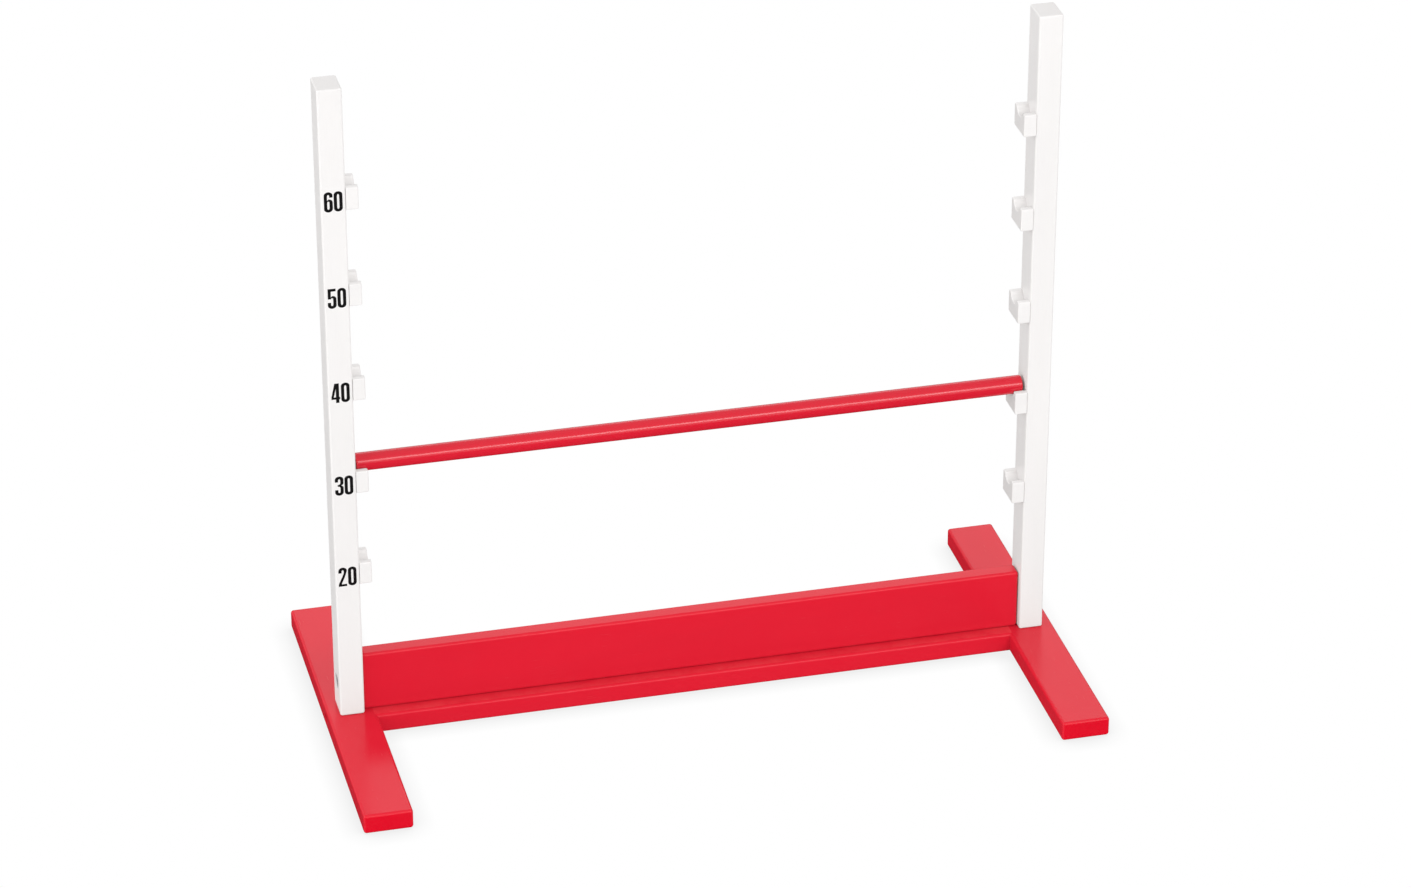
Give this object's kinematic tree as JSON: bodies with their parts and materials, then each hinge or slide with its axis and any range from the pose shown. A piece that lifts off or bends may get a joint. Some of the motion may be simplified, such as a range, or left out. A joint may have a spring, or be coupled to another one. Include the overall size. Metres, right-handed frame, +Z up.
{
  "type": "wooden jump hurdle",
  "caption": "Free-standing lacquered wooden jump hurdle with a loose round crossbar that rests in paired holders at set heights.",
  "frame": {"origin": "on the floor, in the middle of the hurdle's width and depth", "axes": "+Z up, +X along the crossbar to the right as seen from the front, -Y to the front, where the height numbers are read"},
  "size_m": [0.74, 0.4, 0.69],
  "materials": {
    "red_lacquer": "satin red lacquer on solid wood",
    "white_lacquer": "satin white lacquer on solid wood",
    "beech": "bare turned beech",
    "zinc_steel": "zinc plated",
    "black_print": "thin matt black print of the height numbers"
  },
  "bodies": {
    "frame": {"board_screw_1": "zinc_steel", "board_screw_2": "zinc_steel", "board_screw_3": "zinc_steel", "board_screw_4": "zinc_steel", "kick_board": "red_lacquer", "left_board_nut": "zinc_steel", "left_foot": "red_lacquer", "left_holder_20": "white_lacquer", "left_holder_20_dowel": "beech", "left_holder_30": "white_lacquer", "left_holder_30_dowel": "beech", "left_holder_40": "white_lacquer", "left_holder_40_dowel": "beech", "left_holder_50": "white_lacquer", "left_holder_50_dowel": "beech", "left_holder_60": "white_lacquer", "left_holder_60_dowel": "beech", "left_post": "white_lacquer", "left_post_bolt": "zinc_steel", "left_post_screw_back": "zinc_steel", "left_post_screw_front": "zinc_steel", "left_sill_bolt": "zinc_steel", "left_sill_dowel_back": "beech", "left_sill_dowel_front": "beech", "left_sill_nut": "zinc_steel", "right_board_nut": "zinc_steel", "right_foot": "red_lacquer", "right_holder_20": "white_lacquer", "right_holder_20_dowel": "beech", "right_holder_30": "white_lacquer", "right_holder_30_dowel": "beech", "right_holder_40": "white_lacquer", "right_holder_40_dowel": "beech", "right_holder_50": "white_lacquer", "right_holder_50_dowel": "beech", "right_holder_60": "white_lacquer", "right_holder_60_dowel": "beech", "right_post": "white_lacquer", "right_post_bolt": "zinc_steel", "right_post_screw_back": "zinc_steel", "right_post_screw_front": "zinc_steel", "right_sill_bolt": "zinc_steel", "right_sill_dowel_back": "beech", "right_sill_dowel_front": "beech", "right_sill_nut": "zinc_steel", "sill": "red_lacquer"},
    "crossbar": {"crossbar": "red_lacquer"}
  },
  "joints": [
    {"name": "crossbar_lift_off", "type": "slide", "parent": "frame", "child": "crossbar", "axis": [0, -0.4226, 0.9063], "range_m": [0, 0.15]}
  ]
}
